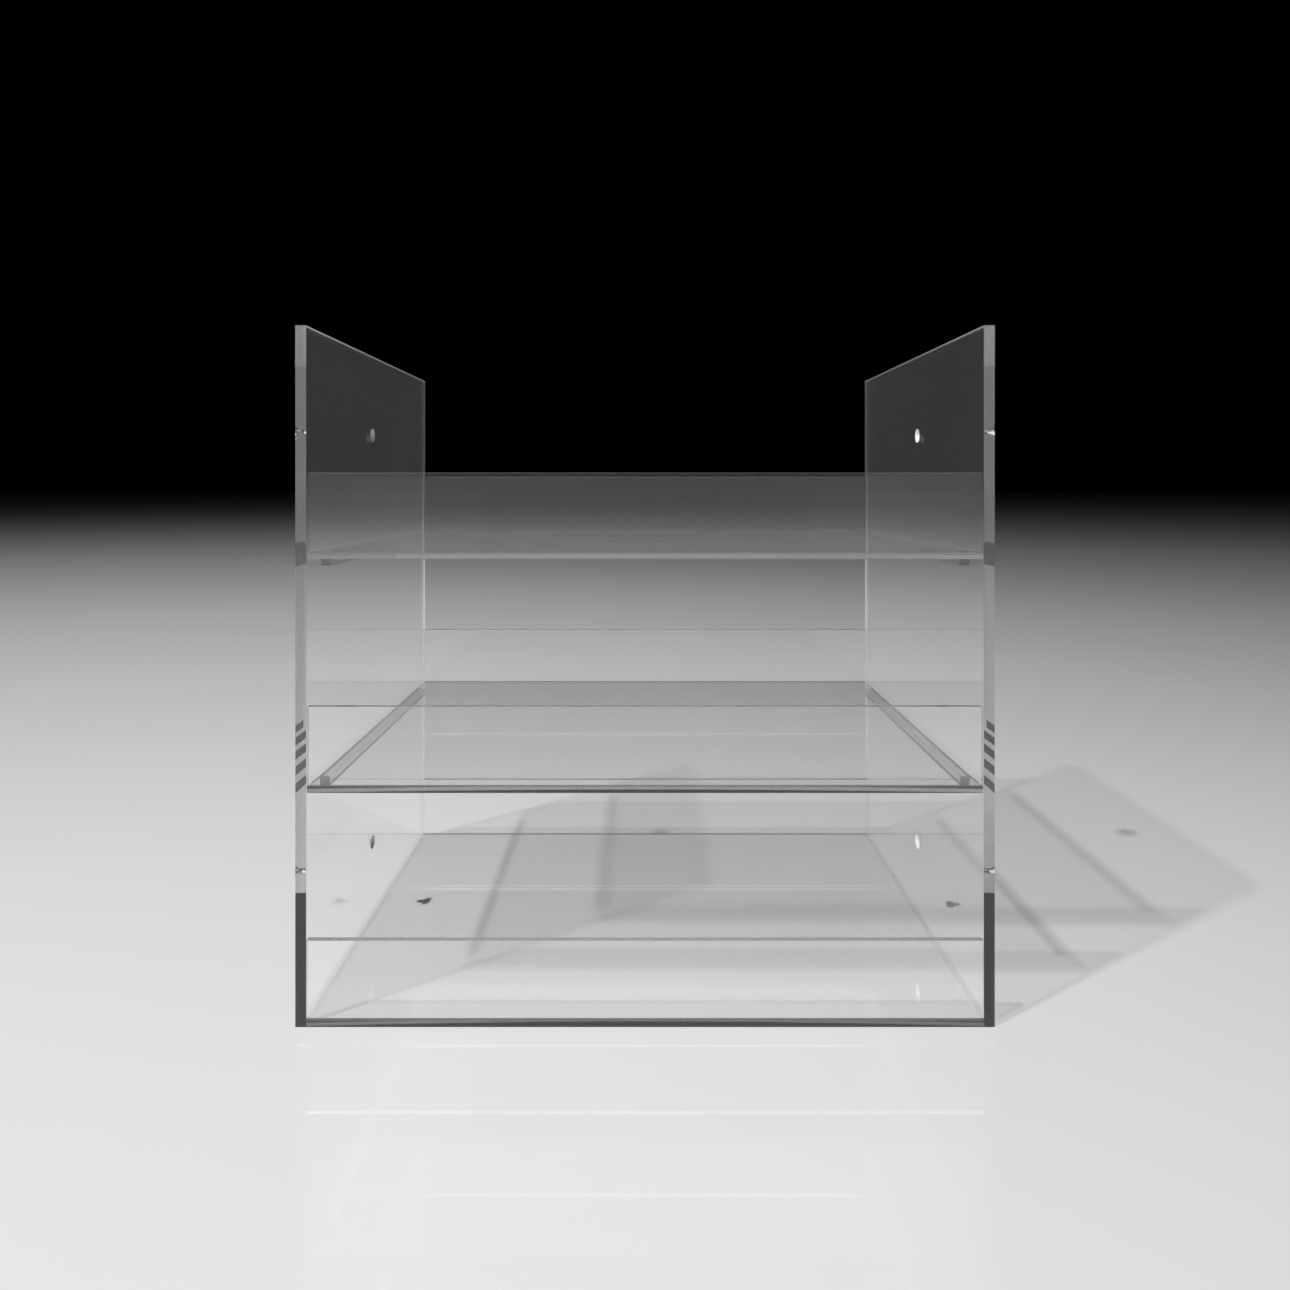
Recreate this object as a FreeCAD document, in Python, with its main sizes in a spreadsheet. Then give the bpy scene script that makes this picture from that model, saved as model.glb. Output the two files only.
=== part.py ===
import FreeCAD, Part
import Sketcher
import os

# An open three-tier bakery display case in clear acrylic sheet. Two side panels stand full height.
# Three trays span between them, each a shelf with a lip standing on its front edge and another on
# its back edge. The base tray is bonded to the side panels. The middle and upper trays lie loose on
# square cleats that are bonded to the side panels' inner faces.
# The origin is on the surface that the case stands on, in the middle of its footprint.
# +X is to the right, the front is at -Y, and +Z is up. Lengths are in millimetres.

doc = FreeCAD.newDocument("bakery_display_case")
sheet = doc.addObject("Spreadsheet::Sheet", "Sizes")

# Driving dimensions: alias, value and what it measures.
SIZES = [
    ("overall_width", 640, "outer face to outer face of the side panels"),
    ("overall_depth", 420, "front edge to back edge"),
    ("overall_height", 642, "height of the side panels"),
    ("side_thickness", 10, "side panel sheet"),
    ("shelf_thickness", 6, "shelf sheet"),
    ("lip_thickness", 6, "lip sheet"),
    ("lip_height", 73, "lip above the shelf that it stands on"),
    ("shelf_pitch", 214, "underside of one shelf to underside of the next"),
    ("tray_end_gap", 0.8, "loose tray end to side panel, at each end"),
    ("cleat_width", 9.5, "cleat section across the case"),
    ("cleat_height", 9, "cleat section up and down"),
    ("cleat_setback", 35, "cleat end back from the case's front and back edges"),
    ("hole_inset", 90, "screw hole centre from the side panel's top and bottom"),
    ("hole_setback", 190, "screw hole centre from the side panel's front edge"),
    ("hole_bore", 5.2, "screw hole diameter"),
    ("sink_diameter", 15.4, "countersink diameter on the inner face"),
    ("sink_angle", 90, "countersink included angle in degrees"),
    ("edge_break", 0.4, "flat on each polished outer edge"),
]

for row, (alias, value, meaning) in enumerate(SIZES, start=1):
    sheet.set(f"A{row}", alias)
    sheet.set(f"B{row}", str(value))
    sheet.set(f"C{row}", meaning)
    sheet.setAlias(f"B{row}", alias)
doc.recompute()

INNER_WIDTH = "(Sizes.overall_width - 2 * Sizes.side_thickness)"
LOOSE_WIDTH = f"({INNER_WIDTH} - 2 * Sizes.tray_end_gap)"
TIERS = ["base", "middle", "upper"]
SIDES = {"left": -1, "right": 1}


def new_body(name):
    """An empty body whose Label becomes the name of its file."""
    body = doc.addObject("PartDesign::Body", name)
    body.Label = name
    return body


def new_sketch(body, name, plane):
    """A sketch on one of the body's own origin planes."""
    sketch = body.newObject("Sketcher::SketchObject", name)
    flat = [item for item in body.Origin.OriginFeatures if item.Role == plane]
    sketch.AttachmentSupport = (flat[0], "")
    sketch.MapMode = "FlatFace"
    return sketch


def add_rectangle(sketch, width, height, centred_up):
    """A rectangle centred across the sketch's own origin. It is centred up and down too, or stands on
    the horizontal axis."""
    corners = [(-5, -5), (5, -5), (5, 5), (-5, 5)]
    points = [FreeCAD.Vector(across, up, 0) for across, up in corners]
    for start, end in zip(points, points[1:] + points[:1]):
        sketch.addGeometry(Part.LineSegment(start, end), False)
    bottom, right, top, left = range(4)
    for line, after in [(bottom, right), (right, top), (top, left), (left, bottom)]:
        sketch.addConstraint(Sketcher.Constraint("Coincident", line, 2, after, 1))
    for line in (bottom, top):
        sketch.addConstraint(Sketcher.Constraint("Horizontal", line))
    for line in (left, right):
        sketch.addConstraint(Sketcher.Constraint("Vertical", line))
    if centred_up:
        sketch.addConstraint(Sketcher.Constraint("Symmetric", bottom, 1, top, 1, -1, 1))
    else:
        sketch.addConstraint(Sketcher.Constraint("Symmetric", bottom, 1, bottom, 2, -1, 1))
    bind_length(sketch, "DistanceX", bottom, "across", width)
    bind_length(sketch, "DistanceY", right, "up", height)


def bind_length(sketch, kind, line, name, expression):
    """A named length along a line of the sketch, from its start to its end, tied to the sheet."""
    index = sketch.addConstraint(Sketcher.Constraint(kind, line, 1, line, 2, 5.0))
    sketch.renameConstraint(index, name)
    sketch.setExpression(f"Constraints.{name}", expression)


def add_pad(body, sketch, name, length, midplane=False, backwards=False):
    """The sketch made solid by the length given."""
    pad = body.newObject("PartDesign::Pad", name)
    pad.Profile = sketch
    pad.Midplane = midplane
    pad.Reversed = backwards
    pad.setExpression("Length", length)
    doc.recompute()
    return pad


def break_edges(body, base, name, is_outer):
    """A small flat on the polished edges that is_outer picks by their middle point and direction."""
    picked = []
    for number, edge in enumerate(base.Shape.Edges, start=1):
        if edge.Curve.TypeId != "Part::GeomLine":
            continue
        middle = edge.valueAt((edge.FirstParameter + edge.LastParameter) / 2)
        if is_outer(middle, edge.Curve.Direction):
            picked.append(f"Edge{number}")
    chamfer = body.newObject("PartDesign::Chamfer", name)
    chamfer.Base = (base, picked)
    chamfer.setExpression("Size", "Sizes.edge_break")
    doc.recompute()
    body.Tip = chamfer
    return chamfer


def place(body, across="0", along="0", up="0"):
    """The body's place in the case, tied to the sheet."""
    body.setExpression("Placement.Base.x", across)
    body.setExpression("Placement.Base.y", along)
    body.setExpression("Placement.Base.z", up)


def make_side_panel(side, sign):
    """A full-height panel with two through holes, countersunk on the inner face. The body's own YZ
    plane is the inner face, and the sheet lies outside it."""
    body = new_body(f"{side}_side_panel")
    outline = new_sketch(body, f"{side}_panel_outline", "YZ_Plane")
    add_rectangle(outline, "Sizes.overall_depth", "Sizes.overall_height", False)
    sheet_pad = add_pad(body, outline, f"{side}_panel_sheet", "Sizes.side_thickness", backwards=sign < 0)
    half_depth = sheet.overall_depth / 2
    height = sheet.overall_height

    def on_outline(middle, direction):
        on_end = min(abs(abs(middle.y) - half_depth), abs(middle.z), abs(middle.z - height)) < 0.01
        return on_end and abs(direction.x) < 0.5

    panel = break_edges(body, sheet_pad, f"{side}_panel_edges", on_outline)
    drill_panel(body, panel, side, sign)
    place(body, across=f"{sign} * {INNER_WIDTH} / 2")
    return body


def drill_panel(body, panel, side, sign):
    """The two screw holes, one near the top and one near the bottom."""
    centres = new_sketch(body, f"{side}_hole_centres", "YZ_Plane")
    heights = ["Sizes.hole_inset", "Sizes.overall_height - Sizes.hole_inset"]
    for number, height in enumerate(heights):
        start = FreeCAD.Vector(-20, 100 + 300 * number, 0)
        centres.addGeometry(Part.Circle(start, FreeCAD.Vector(0, 0, 1), 2), False)
        for kind, word, expression in [
            ("DistanceX", "setback", "Sizes.hole_setback - Sizes.overall_depth / 2"),
            ("DistanceY", "rise", height),
        ]:
            index = centres.addConstraint(Sketcher.Constraint(kind, -1, 1, number, 3, 5.0))
            centres.renameConstraint(index, f"{word}_{number}")
            centres.setExpression(f"Constraints.{word}_{number}", expression)
        index = centres.addConstraint(Sketcher.Constraint("Diameter", number, 5.0))
        centres.renameConstraint(index, f"bore_{number}")
        centres.setExpression(f"Constraints.bore_{number}", "Sizes.hole_bore")
    doc.recompute()
    before = panel.Shape.Volume
    hole = body.newObject("PartDesign::Hole", f"{side}_screw_holes")
    hole.Profile = centres
    hole.Threaded = False
    hole.DepthType = "ThroughAll"
    hole.HoleCutType = "Countersink"
    hole.HoleCutCustomValues = True
    hole.Reversed = sign > 0
    hole.setExpression("Diameter", "Sizes.hole_bore")
    hole.setExpression("HoleCutDiameter", "Sizes.sink_diameter")
    hole.setExpression("HoleCutCountersinkAngle", "Sizes.sink_angle")
    doc.recompute()
    body.Tip = hole
    if hole.Shape.Volume > before - 2 * 3.14 * (sheet.hole_bore / 2) ** 2 * sheet.side_thickness:
        raise RuntimeError(f"{side} screw holes cut too little")


def make_shelf(tier, level, width):
    """A flat shelf, its front and back faces level with the side panels' edges."""
    body = new_body(f"{tier}_shelf")
    outline = new_sketch(body, f"{tier}_shelf_outline", "XY_Plane")
    add_rectangle(outline, width, "Sizes.overall_depth", True)
    board = add_pad(body, outline, f"{tier}_shelf_sheet", "Sizes.shelf_thickness")
    break_edges(
        body,
        board,
        f"{tier}_shelf_edges",
        lambda middle, direction: middle.z < 0.01 and abs(direction.x) > 0.5,
    )
    place(body, up=f"{level} * Sizes.shelf_pitch")
    return body


def make_lip(tier, level, end, sign, width):
    """A lip standing on the shelf. The body's own XZ plane is the lip's outer face, level with the
    front or back edge of the shelf."""
    body = new_body(f"{tier}_{end}_lip")
    outline = new_sketch(body, f"{tier}_{end}_lip_outline", "XZ_Plane")
    add_rectangle(outline, width, "Sizes.lip_height", False)
    board = add_pad(body, outline, f"{tier}_{end}_lip_sheet", "Sizes.lip_thickness", backwards=sign < 0)
    top = sheet.lip_height
    break_edges(
        body,
        board,
        f"{tier}_{end}_lip_edges",
        lambda middle, direction: middle.z > top - 0.01 and abs(direction.x) > 0.5,
    )
    place(
        body,
        along=f"{sign} * Sizes.overall_depth / 2",
        up=f"{level} * Sizes.shelf_pitch + Sizes.shelf_thickness",
    )
    return body


def make_cleat(side, sign, tier, level):
    """A square bar on the side panel's inner face, with its top at the underside of the shelf."""
    body = new_body(f"{side}_{tier}_cleat")
    section = new_sketch(body, f"{side}_{tier}_cleat_section", "XZ_Plane")
    add_rectangle(section, "Sizes.cleat_width", "Sizes.cleat_height", False)
    length = "Sizes.overall_depth - 2 * Sizes.cleat_setback"
    bar = add_pad(body, section, f"{side}_{tier}_cleat_bar", length, midplane=True)
    free_face = -sign * sheet.cleat_width / 2
    break_edges(
        body,
        bar,
        f"{side}_{tier}_cleat_edges",
        lambda middle, direction: abs(middle.x - free_face) < 0.01 and abs(direction.y) > 0.5,
    )
    place(
        body,
        across=f"{sign} * ({INNER_WIDTH} / 2 - Sizes.cleat_width / 2)",
        up=f"{level} * Sizes.shelf_pitch - Sizes.cleat_height",
    )
    return body


parts = [make_side_panel(side, sign) for side, sign in SIDES.items()]
for level, tier in enumerate(TIERS):
    tray_width = INNER_WIDTH if level == 0 else LOOSE_WIDTH
    parts.append(make_shelf(tier, level, tray_width))
    for end, sign in {"front": -1, "rear": 1}.items():
        parts.append(make_lip(tier, level, end, sign, tray_width))
    if level > 0:
        parts += [make_cleat(side, sign, tier, level) for side, sign in SIDES.items()]

doc.recompute()

for item in doc.Objects:
    if "Invalid" in item.State or "Error" in item.State:
        raise RuntimeError(f"{item.Name} failed: {item.State}")

os.makedirs("parts", exist_ok=True)
for body in parts:
    shape = body.Shape
    if shape.isNull() or not shape.isValid() or len(shape.Solids) != 1:
        raise RuntimeError(f"{body.Label} is not one valid solid")
    shape.exportStep(f"parts/{body.Label}.step")
    box = shape.BoundBox
    print(
        f"{body.Label:20s} x {box.XMin:8.2f} {box.XMax:8.2f}  y {box.YMin:8.2f} {box.YMax:8.2f}  "
        f"z {box.ZMin:7.2f} {box.ZMax:7.2f}  volume {shape.Volume / 1000:8.1f} cm3"
    )
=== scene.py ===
# %% [markdown]
# # An open bakery display case in clear acrylic
# Two full-height side panels carry three trays. Each tray is a shelf with a lip standing on its
# front edge and another on its back edge. The base tray is bonded between the panels, and the
# two raised trays lie loose on square cleats. The whole case is sheet and bar, so its looks come
# from the clear plastic: how it bends light, how its cut edges gather it, and how it is bonded.

# %% The frame
import math

import bmesh
import bpy
from mathutils import Matrix, Vector


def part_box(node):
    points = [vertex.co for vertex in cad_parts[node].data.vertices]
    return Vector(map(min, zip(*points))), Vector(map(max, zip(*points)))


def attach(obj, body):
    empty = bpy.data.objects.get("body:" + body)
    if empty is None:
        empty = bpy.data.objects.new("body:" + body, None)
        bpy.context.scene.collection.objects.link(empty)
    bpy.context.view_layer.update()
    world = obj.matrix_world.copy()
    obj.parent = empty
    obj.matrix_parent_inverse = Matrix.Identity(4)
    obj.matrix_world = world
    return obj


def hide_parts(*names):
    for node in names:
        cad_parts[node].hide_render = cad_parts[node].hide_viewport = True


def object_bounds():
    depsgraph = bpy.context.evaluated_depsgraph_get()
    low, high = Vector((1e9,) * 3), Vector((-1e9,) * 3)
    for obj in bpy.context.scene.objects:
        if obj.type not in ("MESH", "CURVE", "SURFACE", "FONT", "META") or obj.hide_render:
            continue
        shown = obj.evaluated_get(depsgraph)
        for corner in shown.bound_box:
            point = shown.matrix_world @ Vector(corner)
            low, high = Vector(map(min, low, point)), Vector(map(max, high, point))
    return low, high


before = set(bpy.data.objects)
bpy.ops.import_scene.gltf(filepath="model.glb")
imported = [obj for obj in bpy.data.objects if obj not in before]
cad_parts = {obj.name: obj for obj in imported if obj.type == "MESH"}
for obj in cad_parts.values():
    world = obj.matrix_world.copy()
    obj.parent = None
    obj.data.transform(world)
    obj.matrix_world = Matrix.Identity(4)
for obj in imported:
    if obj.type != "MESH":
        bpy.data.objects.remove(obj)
cad_low, cad_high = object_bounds()
front = cad_low.y
case_height = cad_high.z
print("case", [round(value, 4) for value in (*cad_low, *cad_high)])

# %% [markdown]
# ## Camera
# The case is seen square on, from a little above its upper shelf. A wide lens close up gives the
# steep perspective of the side panels. The camera looks level, so that the panels' edges stay
# upright, and a small shift places the case in the lower half of the frame, as with a view camera.

# %% Camera
CAMERA_BEFORE_FRONT = 0.7776
CAMERA_HEIGHT = 0.4959
LENS_MM = 23.72
FRAME_SHIFT = -0.124
FILM_WIDTH_MM = 36

camera = bpy.data.objects.new("camera", bpy.data.cameras.new("camera"))
bpy.context.scene.collection.objects.link(camera)
camera.location = (0, front - CAMERA_BEFORE_FRONT, CAMERA_HEIGHT)
camera.rotation_euler = (math.pi / 2, 0, 0)
camera.data.lens = LENS_MM
camera.data.sensor_width = FILM_WIDTH_MM
camera.data.shift_y = FRAME_SHIFT
bpy.context.scene.camera = camera
print("camera", [round(value, 4) for value in camera.location])

# %% [markdown]
# ## Node helpers
# Every finish below is a small node tree. Four helpers keep each tree readable: one makes an
# empty material, one adds a node with its settings and links, one takes a value from one range
# into another, and one does sums.

# %% Node helpers
def new_finish(name):
    """A material with an empty node tree and its output."""
    material = bpy.data.materials.new(name)
    material.use_nodes = True
    tree = material.node_tree
    tree.nodes.clear()
    output = tree.nodes.new("ShaderNodeOutputMaterial")
    return material, tree, output


def add(tree, kind, inputs=None, **settings):
    """A node of this kind. settings are its own properties, and inputs are numbers, colours or
    sockets for its input sockets."""
    node = tree.nodes.new(kind)
    for name, value in settings.items():
        setattr(node, name, value)
    for name, value in (inputs or {}).items():
        if isinstance(value, bpy.types.NodeSocket):
            tree.links.new(value, node.inputs[name])
        else:
            node.inputs[name].default_value = value
    return node


def spread(tree, value, low, high, to_low, to_high):
    """value taken from the range low to high into the range to_low to to_high, and held there."""
    node = add(
        tree,
        "ShaderNodeMapRange",
        {"Value": value, "From Min": low, "From Max": high, "To Min": to_low, "To Max": to_high},
        interpolation_type="SMOOTHSTEP",
    )
    return node.outputs["Result"]


def math_node(tree, operation, first, second):
    """The result of a Math node."""
    return add(tree, "ShaderNodeMath", {0: first, 1: second}, operation=operation).outputs[0]


print("node helpers", [helper.__name__ for helper in (new_finish, add, spread, math_node)])

# %% [markdown]
# ## Clear acrylic
# Cast acrylic bends light by 1.49 and is almost free of colour. A real sheet is never quite
# empty to the eye: its skin scatters a trace of light to both sides, and it carries faint wiping
# smears and a very slight swell from casting. Light that is caught inside it runs from face to
# face, and loses a little at each turn. That is why a long cut edge looks grey.
#
# The finish is a glass shader with two small extras. From outside, a faint scattered light is
# added by diffuse, for the near side, and translucent, for the far side. From inside, light that
# meets the face at a low angle loses a share to a dark diffuse. Backfacing tells the two sides
# apart, and Layer Weight gives the angle.
#
# A lamp's shadow rays don't bend, so to them plain glass is a solid wall. A see-through shader
# answers the shadow rays and the soft light that the floor scatters, so the case casts the pale
# layered shadow of clear sheet.

# %% Acrylic helpers
EVENLY = 0.5


def grey(tone):
    """A neutral colour."""
    return (tone, tone, tone, 1)


def blend(tree, factor, first, second):
    """A colour between first and second."""
    inputs = {"Factor": factor, "A": first, "B": second}
    return add(tree, "ShaderNodeMix", inputs, data_type="RGBA").outputs["Result"]


def noise(tree, scale, detail, stretch=(1, 1, 1)):
    """A noise pattern fixed to the piece. stretch makes it finer along an axis."""
    place = add(tree, "ShaderNodeTexCoord").outputs["Object"]
    place = add(tree, "ShaderNodeMapping", {"Vector": place, "Scale": stretch}).outputs["Vector"]
    inputs = {"Vector": place, "Scale": scale, "Detail": detail}
    return add(tree, "ShaderNodeTexNoise", inputs).outputs["Fac"]


def low_angle(tree):
    """0 where light meets the face head on, up to 1 where it skims along it."""
    return add(tree, "ShaderNodeLayerWeight", {"Blend": EVENLY}).outputs["Facing"]


def diffuse(tree, kind, colour):
    """A Diffuse or Translucent shader."""
    return add(tree, f"ShaderNodeBsdf{kind}", {"Color": colour}).outputs["BSDF"]


def mix_shaders(tree, factor, first, second):
    """The shader between first and second."""
    return add(tree, "ShaderNodeMixShader", {0: factor, 1: first, 2: second}).outputs["Shader"]


def scatter(tree, colour):
    """A shader that scatters light equally to both sides."""
    near, far = diffuse(tree, "Diffuse", colour), diffuse(tree, "Translucent", colour)
    return mix_shaders(tree, EVENLY, near, far)


def let_light_through(tree, seen, shade, output):
    """Puts out the shader seen, which lets shadow rays and scattered light pass straight."""
    see_through = add(tree, "ShaderNodeBsdfTransparent", {"Color": grey(shade)}).outputs["BSDF"]
    path = add(tree, "ShaderNodeLightPath")
    for_lamps = mix_shaders(tree, path.outputs["Is Shadow Ray"], seen, see_through)
    for_floor = mix_shaders(tree, path.outputs["Is Diffuse Ray"], for_lamps, see_through)
    tree.links.new(for_floor, output.inputs["Surface"])


helpers = (noise, low_angle, scatter, let_light_through)
print("acrylic helpers", [helper.__name__ for helper in helpers])

# %% [markdown]
# ## The cast faces
# The faces keep the gloss of the glass plates that the sheet was cast between. They could be one
# plain clear shader, but then two sheets behind each other would look the same as one. Smears and
# waves are therefore noise patterns fixed to each piece, and the haze adds up from sheet to sheet.

# %% Acrylic finish
ACRYLIC_IOR = 1.49
SMEARS_PER_METRE, SMEAR_DETAIL = 7.0, 3.0
WAVES_PER_METRE, WAVE_DETAIL = 5.0, 1.0
GRAIN_DETAIL, GRAIN_FROM, GRAIN_TO = 2.0, 0.45, 0.75
CLEAR_TINT, SMEAR_TINT = grey(0.998), grey(0.99)
PALE_HAZE, DULL_HAZE = grey(0.055), grey(0.047)
MILLED, LOST = grey(0.9), grey(0.02)
SKIN_LOSS = 0.05
CAUGHT_FROM, CAUGHT_AT = 0.28, 0.45
FACE_SHADE, EDGE_SHADE, SINK_SHADE = 0.94, 0.87, 0.04


def clear_acrylic(name, matte, rough, grain, swell, shade, stretch=(1, 1, 1)):
    """Clear acrylic. matte is the share of its surface that is left milled and dull, rough its
    lowest and highest roughness, grain how many marks it has in each metre, stretch the way
    that they run, swell the depth of its waves in metres, and shade how much light each face
    lets through to what is in its shadow."""
    material, tree, output = new_finish(name)
    smears = noise(tree, SMEARS_PER_METRE, SMEAR_DETAIL)
    waves = noise(tree, WAVES_PER_METRE, WAVE_DETAIL)
    marks = noise(tree, grain, GRAIN_DETAIL, stretch)
    bump = add(tree, "ShaderNodeBump", {"Height": waves, "Strength": 1.0, "Distance": swell})
    acrylic = add(
        tree,
        "ShaderNodeBsdfPrincipled",
        {
            "Base Color": blend(tree, smears, CLEAR_TINT, SMEAR_TINT),
            "Roughness": spread(tree, marks, GRAIN_FROM, GRAIN_TO, *rough),
            "IOR": ACRYLIC_IOR,
            "Transmission Weight": 1.0,
            "Normal": bump.outputs["Normal"],
        },
    ).outputs["BSDF"]
    haze = scatter(tree, blend(tree, smears, PALE_HAZE, DULL_HAZE))
    polished = add(tree, "ShaderNodeAddShader", {0: acrylic, 1: haze}).outputs["Shader"]
    outside = mix_shaders(tree, matte, polished, diffuse(tree, "Diffuse", MILLED))
    loss = spread(tree, low_angle(tree), CAUGHT_FROM, CAUGHT_AT, 0.0, SKIN_LOSS)
    inside = mix_shaders(tree, loss, acrylic, diffuse(tree, "Diffuse", LOST))
    is_inside = add(tree, "ShaderNodeNewGeometry").outputs["Backfacing"]
    let_light_through(tree, mix_shaders(tree, is_inside, outside, inside), shade, output)
    return material


cast_face = clear_acrylic(
    "cast_face", matte=0.0, rough=(0, 0.003), grain=9, swell=0.000002, shade=FACE_SHADE
)
print("finish", cast_face.name, len(cast_face.node_tree.nodes), "nodes")

# %% [markdown]
# ## Cut edges and countersinks
# The edges were sawn and then polished, so they are as clear as the faces, but a polisher leaves
# faint lines along them. The countersinks were cut and left as they were milled: they are dull
# white where the lamp reaches them and dark where it doesn't, and each hole throws a dark shadow.
# Both are the same finish as the faces, with a finer grain that is stretched one way.

# %% Edges and countersinks
cut_edge = clear_acrylic(
    "cut_edge",
    matte=0.0,
    rough=(0, 0.003),
    grain=30,
    swell=0.0000005,
    shade=EDGE_SHADE,
    stretch=(4, 0.5, 0.5),
)
countersink = clear_acrylic(
    "countersink",
    matte=0.85,
    rough=(0.1, 0.15),
    grain=400,
    swell=0.000002,
    shade=SINK_SHADE,
    stretch=(4, 1, 1),
)
print("finishes", cut_edge.name, countersink.name)

# %% [markdown]
# ## Cement
# Solvent cement melts two faces into one. Light crosses the joint without bending or mirroring,
# so seen head on it is as clear as the sheet. What gives it away is a few tiny bubbles, and the
# dull grey of the joint when the eye skims along it, as it does through a side panel's edge.
#
# A glass of index 1 passes light straight on, and it goes on both of the faces that meet. With
# a power of the angle it gives way to a scattered grey. The two faces are left a hair apart,
# because light that meets two faces in the very same place can be thrown between them for ever.

# %% Cement
CEMENT_GAP = 0.00001
CEMENT_IOR = 1.0
BUBBLES_PER_METRE = 420
BUBBLE_FROM, BUBBLE_TO = 0.72, 0.8
BUBBLE_BLUR = 0.2
CLEAR_CEMENT, CEMENT_BUBBLE, GREY_CEMENT = grey(0.99), grey(0.6), grey(0.14)
GREY_AT_POWER = 1.2


def cement_joint():
    """Clear cement with bubbles, which turns grey where it is seen along the joint."""
    material, tree, output = new_finish("cement")
    bubbles = spread(tree, noise(tree, BUBBLES_PER_METRE, 0.0), BUBBLE_FROM, BUBBLE_TO, 0.0, 1.0)
    clear = add(
        tree,
        "ShaderNodeBsdfPrincipled",
        {
            "Base Color": blend(tree, bubbles, CLEAR_CEMENT, CEMENT_BUBBLE),
            "Roughness": spread(tree, bubbles, 0.0, 1.0, 0.0, BUBBLE_BLUR),
            "IOR": CEMENT_IOR,
            "Transmission Weight": 1.0,
        },
    ).outputs["BSDF"]
    skim = math_node(tree, "POWER", low_angle(tree), GREY_AT_POWER)
    joint = mix_shaders(tree, skim, clear, scatter(tree, GREY_CEMENT))
    let_light_through(tree, joint, 1.0, output)
    return material


cement = cement_joint()
FINISHES = [cast_face, cut_edge, cement, countersink]
FACE, EDGE, JOINT, SINK = range(len(FINISHES))
print("finishes", [finish.name for finish in FINISHES])

# %% [markdown]
# ## A piece of sheet
# Each shelf, lip and cleat is cut square from flat stock, so it starts as a cube scaled to its
# place. Its free edges are polished, which rounds the sharp arris a little, and a bevel does
# that. Where another piece is cemented to a face, the face is split along that piece's outline,
# so that the joint can have its own finish. The rounding is finer than the construction's, because
# a finely polished arris draws only a hair of light.

# %% A piece of sheet
ARRIS = 0.0001
ARRIS_STEPS = 2
AIR_FILM = 0.0001
TOUCHING = 0.00002
SQUARE_TO, NEARLY_SQUARE_TO, ACROSS = 0.999, 0.99, 0.5


def block(low, high):
    """A bmesh block between two corners."""
    mesh = bmesh.new()
    size, middle = high - low, (high + low) / 2
    place = Matrix.Translation(middle) @ Matrix.Diagonal((*size, 1))
    bmesh.ops.create_cube(mesh, size=1, matrix=place)
    return mesh


def round_edges(mesh, is_free):
    """Rounds the edges that is_free picks, by their middle and direction. A bevel goes by the
    normals, so they are made to point outwards first."""
    bmesh.ops.recalc_face_normals(mesh, faces=mesh.faces)
    free = []
    for edge in mesh.edges:
        start, end = (vertex.co for vertex in edge.verts)
        if is_free((start + end) / 2, (end - start).normalized()):
            free.append(edge)
    bmesh.ops.bevel(
        mesh,
        geom=free,
        offset=ARRIS,
        offset_type="OFFSET",
        affect="EDGES",
        segments=ARRIS_STEPS,
        profile=0.5,
        material=-1,
        clamp_overlap=True,
    )


def split_at(mesh, axis, *places):
    """Splits the faces by planes across an axis, so that a joint's outline has edges."""
    across = Vector((0, 0, 0))
    across[axis] = 1
    for place in places:
        everything = [*mesh.verts, *mesh.edges, *mesh.faces]
        bmesh.ops.bisect_plane(
            mesh, geom=everything, dist=TOUCHING, plane_co=across * place, plane_no=across
        )


def is_joint(face, joints):
    """True if a face lies in one of the joints' boxes."""
    middle = face.calc_center_median()
    for low, high in joints:
        if all(low[axis] - TOUCHING <= middle[axis] <= high[axis] + TOUCHING for axis in range(3)):
            return True
    return False


def assign_finishes(mesh, across, joints):
    """Cast finish on the two faces across the sheet, cement in its joints, and a cut edge's
    finish on the rest. A joint is a flat face within one of the joints' boxes."""
    mesh.normal_update()
    for face in mesh.faces:
        is_flat = max(abs(part) for part in face.normal) > SQUARE_TO
        is_cast = abs(face.normal[across]) > NEARLY_SQUARE_TO
        face.material_index = FACE if is_cast else EDGE
        if is_flat and is_joint(face, joints):
            face.material_index = JOINT


def finish_piece(mesh, name, body, node):
    """Turns a bmesh into the piece that stands for a CAD node."""
    data = bpy.data.meshes.new(name)
    mesh.to_mesh(data)
    mesh.free()
    piece = bpy.data.objects.new(name, data)
    bpy.context.scene.collection.objects.link(piece)
    for finish in FINISHES:
        data.materials.append(finish)
    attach(piece, body)
    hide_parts(node)
    return piece


print("arris", ARRIS, "m, air film", AIR_FILM, "m")

# %% [markdown]
# ## Side panels
# A panel is the thickest sheet in the case. Two screw holes go through it, countersunk on the
# inner face. A boolean could cut them, but it leaves a tangle around each rim, so the panel is
# built up instead: its outline and hole rims are drawn on each face, each face is filled around
# the holes, and the rims are bridged through the thickness. Two cleats are cemented to its inner
# face.

# %% Hole rims and outlines
HOLE_STEPS = 96
HOLE_INSET = 0.090
HOLE_SETBACK = 0.190
BORE_RADIUS = 0.0026
SINK_RADIUS = 0.0077
SINK_DEPTH = SINK_RADIUS - BORE_RADIUS
TO_SIDE = Matrix.Rotation(math.pi / 2, 4, "Y")
print("bore", 2 * BORE_RADIUS, "m, countersink", 2 * SINK_RADIUS, "m, and", SINK_DEPTH, "m deep")


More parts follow.
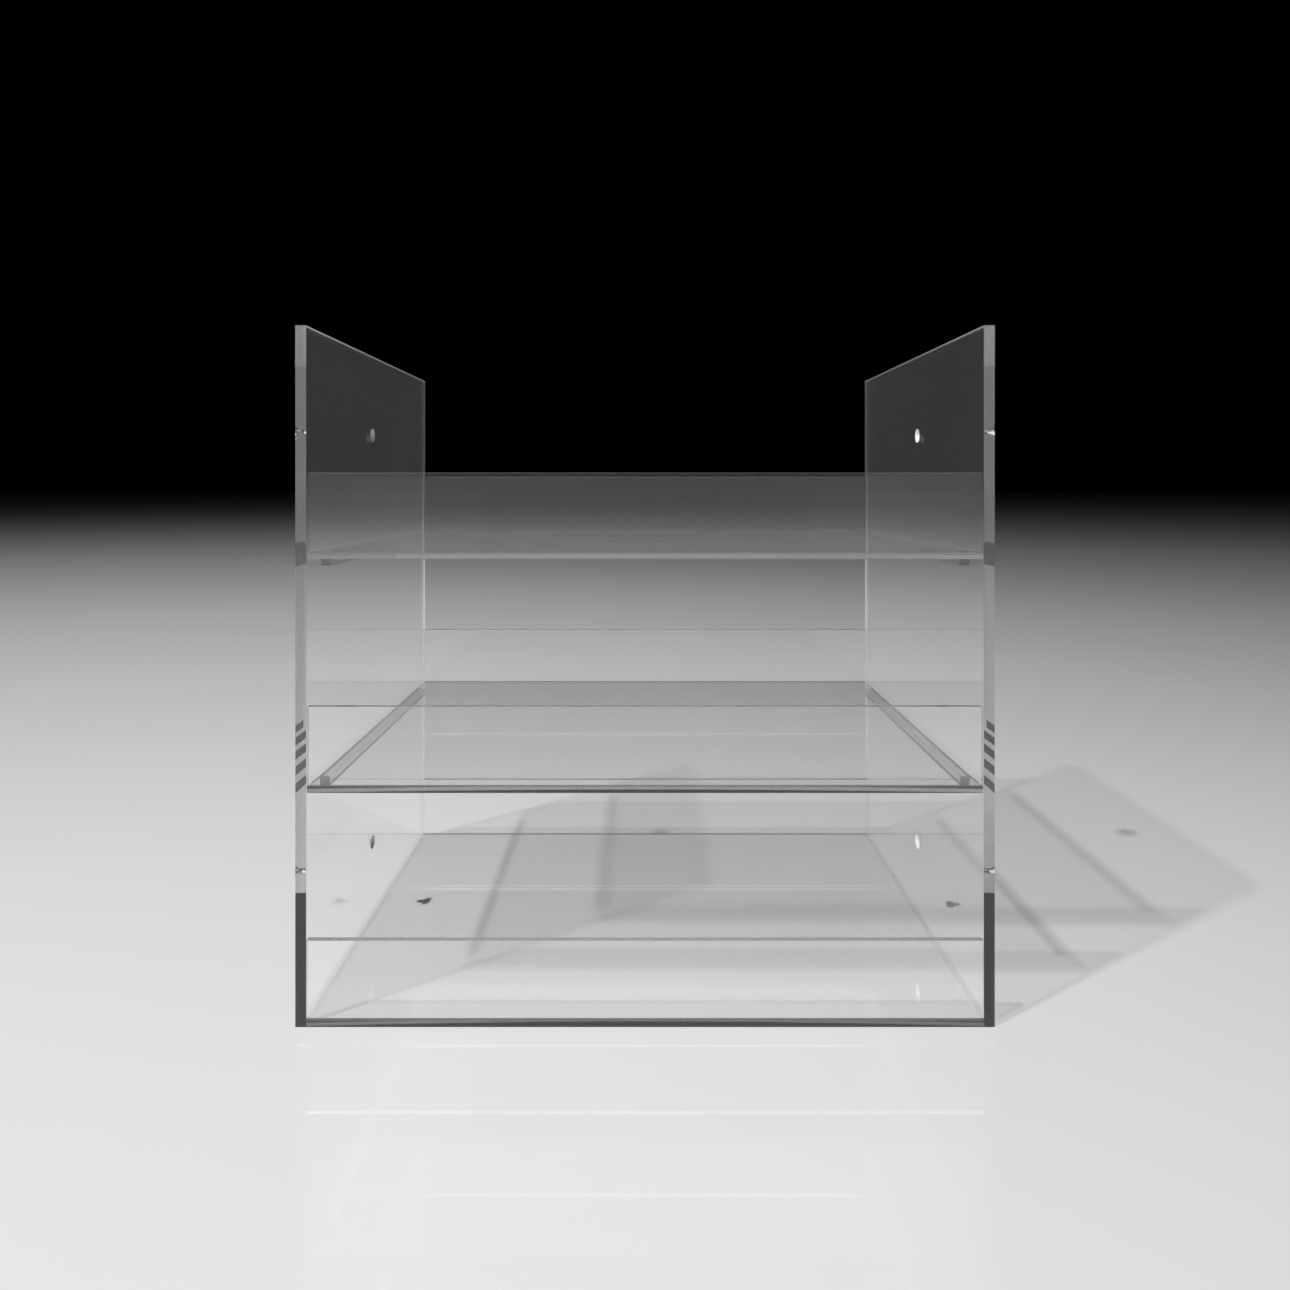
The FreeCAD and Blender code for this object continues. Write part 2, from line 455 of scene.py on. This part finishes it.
def rim(mesh, across, along, up, radius):
    """A hole's rim, as a loop of edges that faces the side."""
    turn = Matrix.Translation((across, along, up)) @ TO_SIDE
    made = bmesh.ops.create_circle(
        mesh, cap_ends=False, radius=radius, segments=HOLE_STEPS, matrix=turn
    )
    corners = set(made["verts"])
    return [edge for edge in mesh.edges if corners.issuperset(edge.verts)]


def outline(mesh, across, low, high):
    """A panel face's outline, as a loop of four edges."""
    middle = (high + low) / 2
    size = high - low
    place = Matrix.Translation((across, middle.y, middle.z))
    turn = place @ Matrix.Diagonal((1, size.y, size.z, 1)) @ TO_SIDE
    made = bmesh.ops.create_grid(mesh, x_segments=1, y_segments=1, size=0.5, matrix=turn)
    corners = set(made["verts"])
    fill = [face for face in mesh.faces if corners.issuperset(face.verts)]
    bmesh.ops.delete(mesh, geom=fill, context="FACES_ONLY")
    return [edge for edge in mesh.edges if corners.issuperset(edge.verts)]


# %% [markdown]
# ## From rims to a panel
# The loops of edges become a closed sheet: each face is filled between its outline and its rims,
# the two outlines are bridged to make the four cut edges, and each hole's rims are bridged to make
# its cone and its bore. The fill leaves the holes open, so no face has to be cut away.

# %% Side panels
SIDES = {"left": -1, "right": 1}
RAISED_TIERS = ("middle", "upper")


def drill(mesh, inner, outer, sign):
    """The rims of both holes: on the inner face, where the cone ends, and on the outer face."""
    along = front + HOLE_SETBACK
    rims = []
    for up in (HOLE_INSET, case_height - HOLE_INSET):
        sink = rim(mesh, inner, along, up, SINK_RADIUS)
        throat = rim(mesh, inner + sign * SINK_DEPTH, along, up, BORE_RADIUS)
        bore = rim(mesh, outer, along, up, BORE_RADIUS)
        rims.append((sink, throat, bore))
    return rims


def make_side_panel(side, sign):
    """A drilled side panel, with joints where its two cleats are cemented."""
    name = f"{side}_side_panel"
    low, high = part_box(name)
    inner, outer = (high.x, low.x) if sign < 0 else (low.x, high.x)
    mesh = bmesh.new()
    inner_loop, outer_loop = (outline(mesh, across, low, high) for across in (inner, outer))
    rims = drill(mesh, inner, outer, sign)
    for loop, place in ((inner_loop, 0), (outer_loop, 2)):
        rim_edges = [edge for hole in rims for edge in hole[place]]
        bmesh.ops.triangle_fill(mesh, use_beauty=True, use_dissolve=False, edges=loop + rim_edges)
    bmesh.ops.bridge_loops(mesh, edges=inner_loop + outer_loop)
    walls = []
    for sink, throat, bore in rims:
        walls += bmesh.ops.bridge_loops(mesh, edges=sink + throat)["faces"]
        walls += bmesh.ops.bridge_loops(mesh, edges=throat + bore)["faces"]

    def on_outline(middle, direction):
        to_edge = min(middle.y - low.y, high.y - middle.y, middle.z - low.z, high.z - middle.z)
        return to_edge < TOUCHING and abs(direction.x) < ACROSS

    round_edges(mesh, on_outline)
    cleats = [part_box(f"{side}_{tier}_cleat") for tier in RAISED_TIERS]
    for cleat_low, cleat_high in cleats:
        split_at(mesh, 2, cleat_low.z, cleat_high.z)
    split_at(mesh, 1, cleats[0][0].y, cleats[0][1].y)
    assign_finishes(mesh, 0, cleats)
    for wall in walls:
        if wall.is_valid:
            wall.material_index = SINK
            wall.smooth = True
    return finish_piece(mesh, f"{name}_sheet", "case", name)


for side, sign in SIDES.items():
    panel = make_side_panel(side, sign)
    joints = sum(polygon.material_index == JOINT for polygon in panel.data.polygons)
    print(panel.name, len(panel.data.polygons), "faces,", joints, "in joints")

# %% [markdown]
# ## Trays
# A tray is a shelf and two lips. Each lip stands on the shelf and is cemented along its foot. The
# base tray fills the width between the side panels, and the cement there only bridges the edges,
# so a film of air stays between the flat faces. The raised trays stop short of the panels.

# %% Trays
ENDS = ("front", "rear")
TIERS = {"base": "case", "middle": "middle_tray", "upper": "upper_tray"}


def leave_air(low, high, body):
    """Leaves a film of air at the ends of the base tray."""
    if body == "case":
        low.x, high.x = low.x + AIR_FILM, high.x - AIR_FILM


def make_shelf(tier, body):
    """A shelf, split along its lips' feet."""
    name = f"{tier}_shelf"
    low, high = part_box(name)
    leave_air(low, high, body)
    if body != "case":
        low.z += AIR_FILM  # a raised shelf rests on its cleats without cement
    mesh = block(low, high)

    def on_underside(middle, direction):
        return middle.z < low.z + ARRIS and abs(direction.x) > ACROSS

    round_edges(mesh, on_underside)
    lips = [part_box(f"{tier}_{end}_lip") for end in ENDS]
    split_at(mesh, 1, lips[0][1].y, lips[1][0].y)
    assign_finishes(mesh, 2, lips)
    return finish_piece(mesh, f"{name}_sheet", body, name)


def make_lip(tier, end, body):
    """A lip, cemented along its foot."""
    name = f"{tier}_{end}_lip"
    low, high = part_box(name)
    leave_air(low, high, body)
    low.z += CEMENT_GAP
    mesh = block(low, high)

    def on_top(middle, direction):
        return middle.z > high.z - ARRIS and abs(direction.x) > ACROSS

    round_edges(mesh, on_top)
    assign_finishes(mesh, 1, [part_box(f"{tier}_shelf")])
    return finish_piece(mesh, f"{name}_sheet", body, name)


for tier, body in TIERS.items():
    pieces = [make_shelf(tier, body)]
    pieces += [make_lip(tier, end, body) for end in ENDS]
    print(tier, [piece.name for piece in pieces])

# %% [markdown]
# ## Cleats
# Each raised tray lies on two nearly square bars, cemented to the side panels and stopping short
# of the front and back edges. A bar is a block like the shelves, with its two free long edges
# rounded. The tray only rests on them, so a film of air stays between bar and shelf.

# %% Cleats
def make_cleat(side, sign, tier):
    """A cleat, cemented by one side to its panel."""
    name = f"{side}_{tier}_cleat"
    low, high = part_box(name)
    free = high.x if sign < 0 else low.x
    if sign < 0:
        low.x += CEMENT_GAP
    else:
        high.x -= CEMENT_GAP
    mesh = block(low, high)

    def on_free_side(middle, direction):
        return abs(middle.x - free) < ARRIS and abs(direction.y) > ACROSS

    round_edges(mesh, on_free_side)
    assign_finishes(mesh, 0, [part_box(f"{side}_side_panel")])
    return finish_piece(mesh, f"{name}_bar", "case", name)


for tier in RAISED_TIERS:
    for side, sign in SIDES.items():
        cleat = make_cleat(side, sign, tier)
        print(cleat.name, len(cleat.data.polygons), "faces")

# %% [markdown]
# ## Floor
# The case stands on a wide, pale, polished floor. Its gloss mirrors the dark room at a low angle,
# which is why it fades towards the horizon, and it mirrors the edges of the case close by. Its
# paint is cloudy, and a painted shade darkens its colour with distance behind the case, standing
# in for the lamp's falloff.

# %% Floor
FLOOR_HALF = 60.0
FLOOR_BELOW = 0.0002
FLOOR_TONES = (0.8, 0.82)
CLOUDS_PER_METRE, CLOUD_DETAIL = 3.0, 4.0
# painted shade: between these depths the floor's colour falls to this tone, standing in for the
# lamp's falloff
PAINTED_FALLOFF_FROM, PAINTED_FALLOFF_TO = -0.6, 1.0
PAINTED_FALLOFF_TONE = 0.9
FLOOR_GLOSS, FLOOR_IOR = 0.02, 2.3


def pale_floor():
    """Pale gloss paint, with a painted shade that darkens it with distance behind the case, as the
    lamp's falloff.
    """
    material, tree, output = new_finish("pale_floor")
    place = add(tree, "ShaderNodeTexCoord").outputs["Object"]
    depth = add(tree, "ShaderNodeSeparateXYZ", {"Vector": place}).outputs["Y"]
    # painted shade: the floor's colour is darkened with distance, in place of the lamp's falloff
    painted_falloff = spread(tree, depth, PAINTED_FALLOFF_FROM, PAINTED_FALLOFF_TO, 1.0, PAINTED_FALLOFF_TONE)
    inputs = {"Vector": place, "Scale": CLOUDS_PER_METRE, "Detail": CLOUD_DETAIL}
    cloud = add(tree, "ShaderNodeTexNoise", inputs).outputs["Fac"]
    tone = math_node(tree, "MULTIPLY", painted_falloff, spread(tree, cloud, 0.0, 1.0, *FLOOR_TONES))
    colour = add(tree, "ShaderNodeCombineColor", {"Red": tone, "Green": tone, "Blue": tone})
    shader = add(
        tree,
        "ShaderNodeBsdfPrincipled",
        {"Base Color": colour.outputs["Color"], "Roughness": FLOOR_GLOSS, "IOR": FLOOR_IOR},
    )
    tree.links.new(shader.outputs["BSDF"], output.inputs["Surface"])
    return material


floor_mesh = bmesh.new()
bmesh.ops.create_grid(floor_mesh, x_segments=2, y_segments=2, size=FLOOR_HALF)
floor_data = bpy.data.meshes.new("floor")
floor_mesh.to_mesh(floor_data)
floor_mesh.free()
floor_data.materials.append(pale_floor())
floor_data.transform(Matrix.Translation((0, 0, cad_low.z - FLOOR_BELOW)))
floor = bpy.data.objects.new("floor", floor_data)
bpy.context.scene.collection.objects.link(floor)
print("floor", FLOOR_HALF * 2, "m square")

# %% [markdown]
# ## Lamp
# One soft lamp stands high on the left, in front of the case, and makes nearly all of the light.
# A far, small disc is chosen over a near, large one, because the shadows of the sheets lie long
# and almost sharp on the floor.

# %% Lamp
KEY_PLACE = Vector((-5.3, -3.7, 8.8))
KEY_SIZE = 0.35
KEY_WATTS = 1560

key_data = bpy.data.lights.new("key_lamp", "AREA")
key_data.shape = "DISK"
key_data.size = KEY_SIZE
key_data.energy = KEY_WATTS
key = bpy.data.objects.new("key_lamp", key_data)
key.location = KEY_PLACE
aim = Vector((0, 0, case_height / 2)) - KEY_PLACE
key.rotation_euler = aim.to_track_quat("-Z", "Y").to_euler()
bpy.context.scene.collection.objects.link(key)
print("lamp", KEY_WATTS, "W")

# %% [markdown]
# ## Room
# The room is dark behind the case, with a faint glow overhead and in front, as from a far wall.
# Clear plastic shows itself mostly by what it mirrors, so these two glows draw its faces.
#
# The cut edges of acrylic gather the faint light of a whole room, because light that has turned
# many times inside a sheet can come from anywhere. A dim glow above the horizon stands for that.
# Only light that has been mirrored three times or more sees it, so the room stays dark.

# %% Room
OVERHEAD_GLOW = 0.05
FRONT_GLOW = 0.05
EDGE_GLOW = 0.24
EDGE_GLOW_FULL_TO, EDGE_GLOW_TOP = 0.12, 0.4
OVERHEAD_FROM, OVERHEAD_TO = 0.55, 1.0
FRONT_TO, FRONT_FROM = -0.9, -0.1
FEWEST_TURNS = 2.5

room = bpy.data.worlds.new("room")
room.use_nodes = True
bpy.context.scene.world = room
tree = room.node_tree
tree.nodes.clear()
direction = add(tree, "ShaderNodeTexCoord").outputs["Generated"]
parts = add(tree, "ShaderNodeSeparateXYZ", {"Vector": direction}).outputs
overhead = spread(tree, parts["Z"], OVERHEAD_FROM, OVERHEAD_TO, 0.0, OVERHEAD_GLOW)
forward = spread(tree, parts["Y"], FRONT_TO, FRONT_FROM, FRONT_GLOW, 0.0)
band = spread(tree, parts["Z"], EDGE_GLOW_FULL_TO, EDGE_GLOW_TOP, EDGE_GLOW, 0.0)
turns = add(tree, "ShaderNodeLightPath").outputs["Glossy Depth"]
is_gathered = math_node(tree, "GREATER_THAN", turns, FEWEST_TURNS)
gathered = math_node(tree, "MULTIPLY", band, is_gathered)
around = math_node(tree, "MAXIMUM", overhead, forward)
glow = math_node(tree, "MAXIMUM", around, gathered)
sky = add(tree, "ShaderNodeBackground", {"Color": grey(1), "Strength": glow})
add(tree, "ShaderNodeOutputWorld", {"Surface": sky.outputs["Background"]})
print("glow overhead", OVERHEAD_GLOW, "in front", FRONT_GLOW, "and in edges", EDGE_GLOW)

# %% [markdown]
# ## Light paths
# Light that enters the edge of a sheet runs inside it from face to face, up to twenty times,
# before it comes out at the far edge. With too few bounces those edges go black, so the paths
# are given room. Plain tones are kept by the standard view transform.

# %% Light paths
EDGE_BOUNCES = 48
scene = bpy.context.scene
scene.cycles.max_bounces = EDGE_BOUNCES
scene.cycles.glossy_bounces = EDGE_BOUNCES
scene.cycles.transmission_bounces = EDGE_BOUNCES
scene.cycles.transparent_max_bounces = EDGE_BOUNCES
scene.view_settings.view_transform = "Standard"
print("bounces", EDGE_BOUNCES)
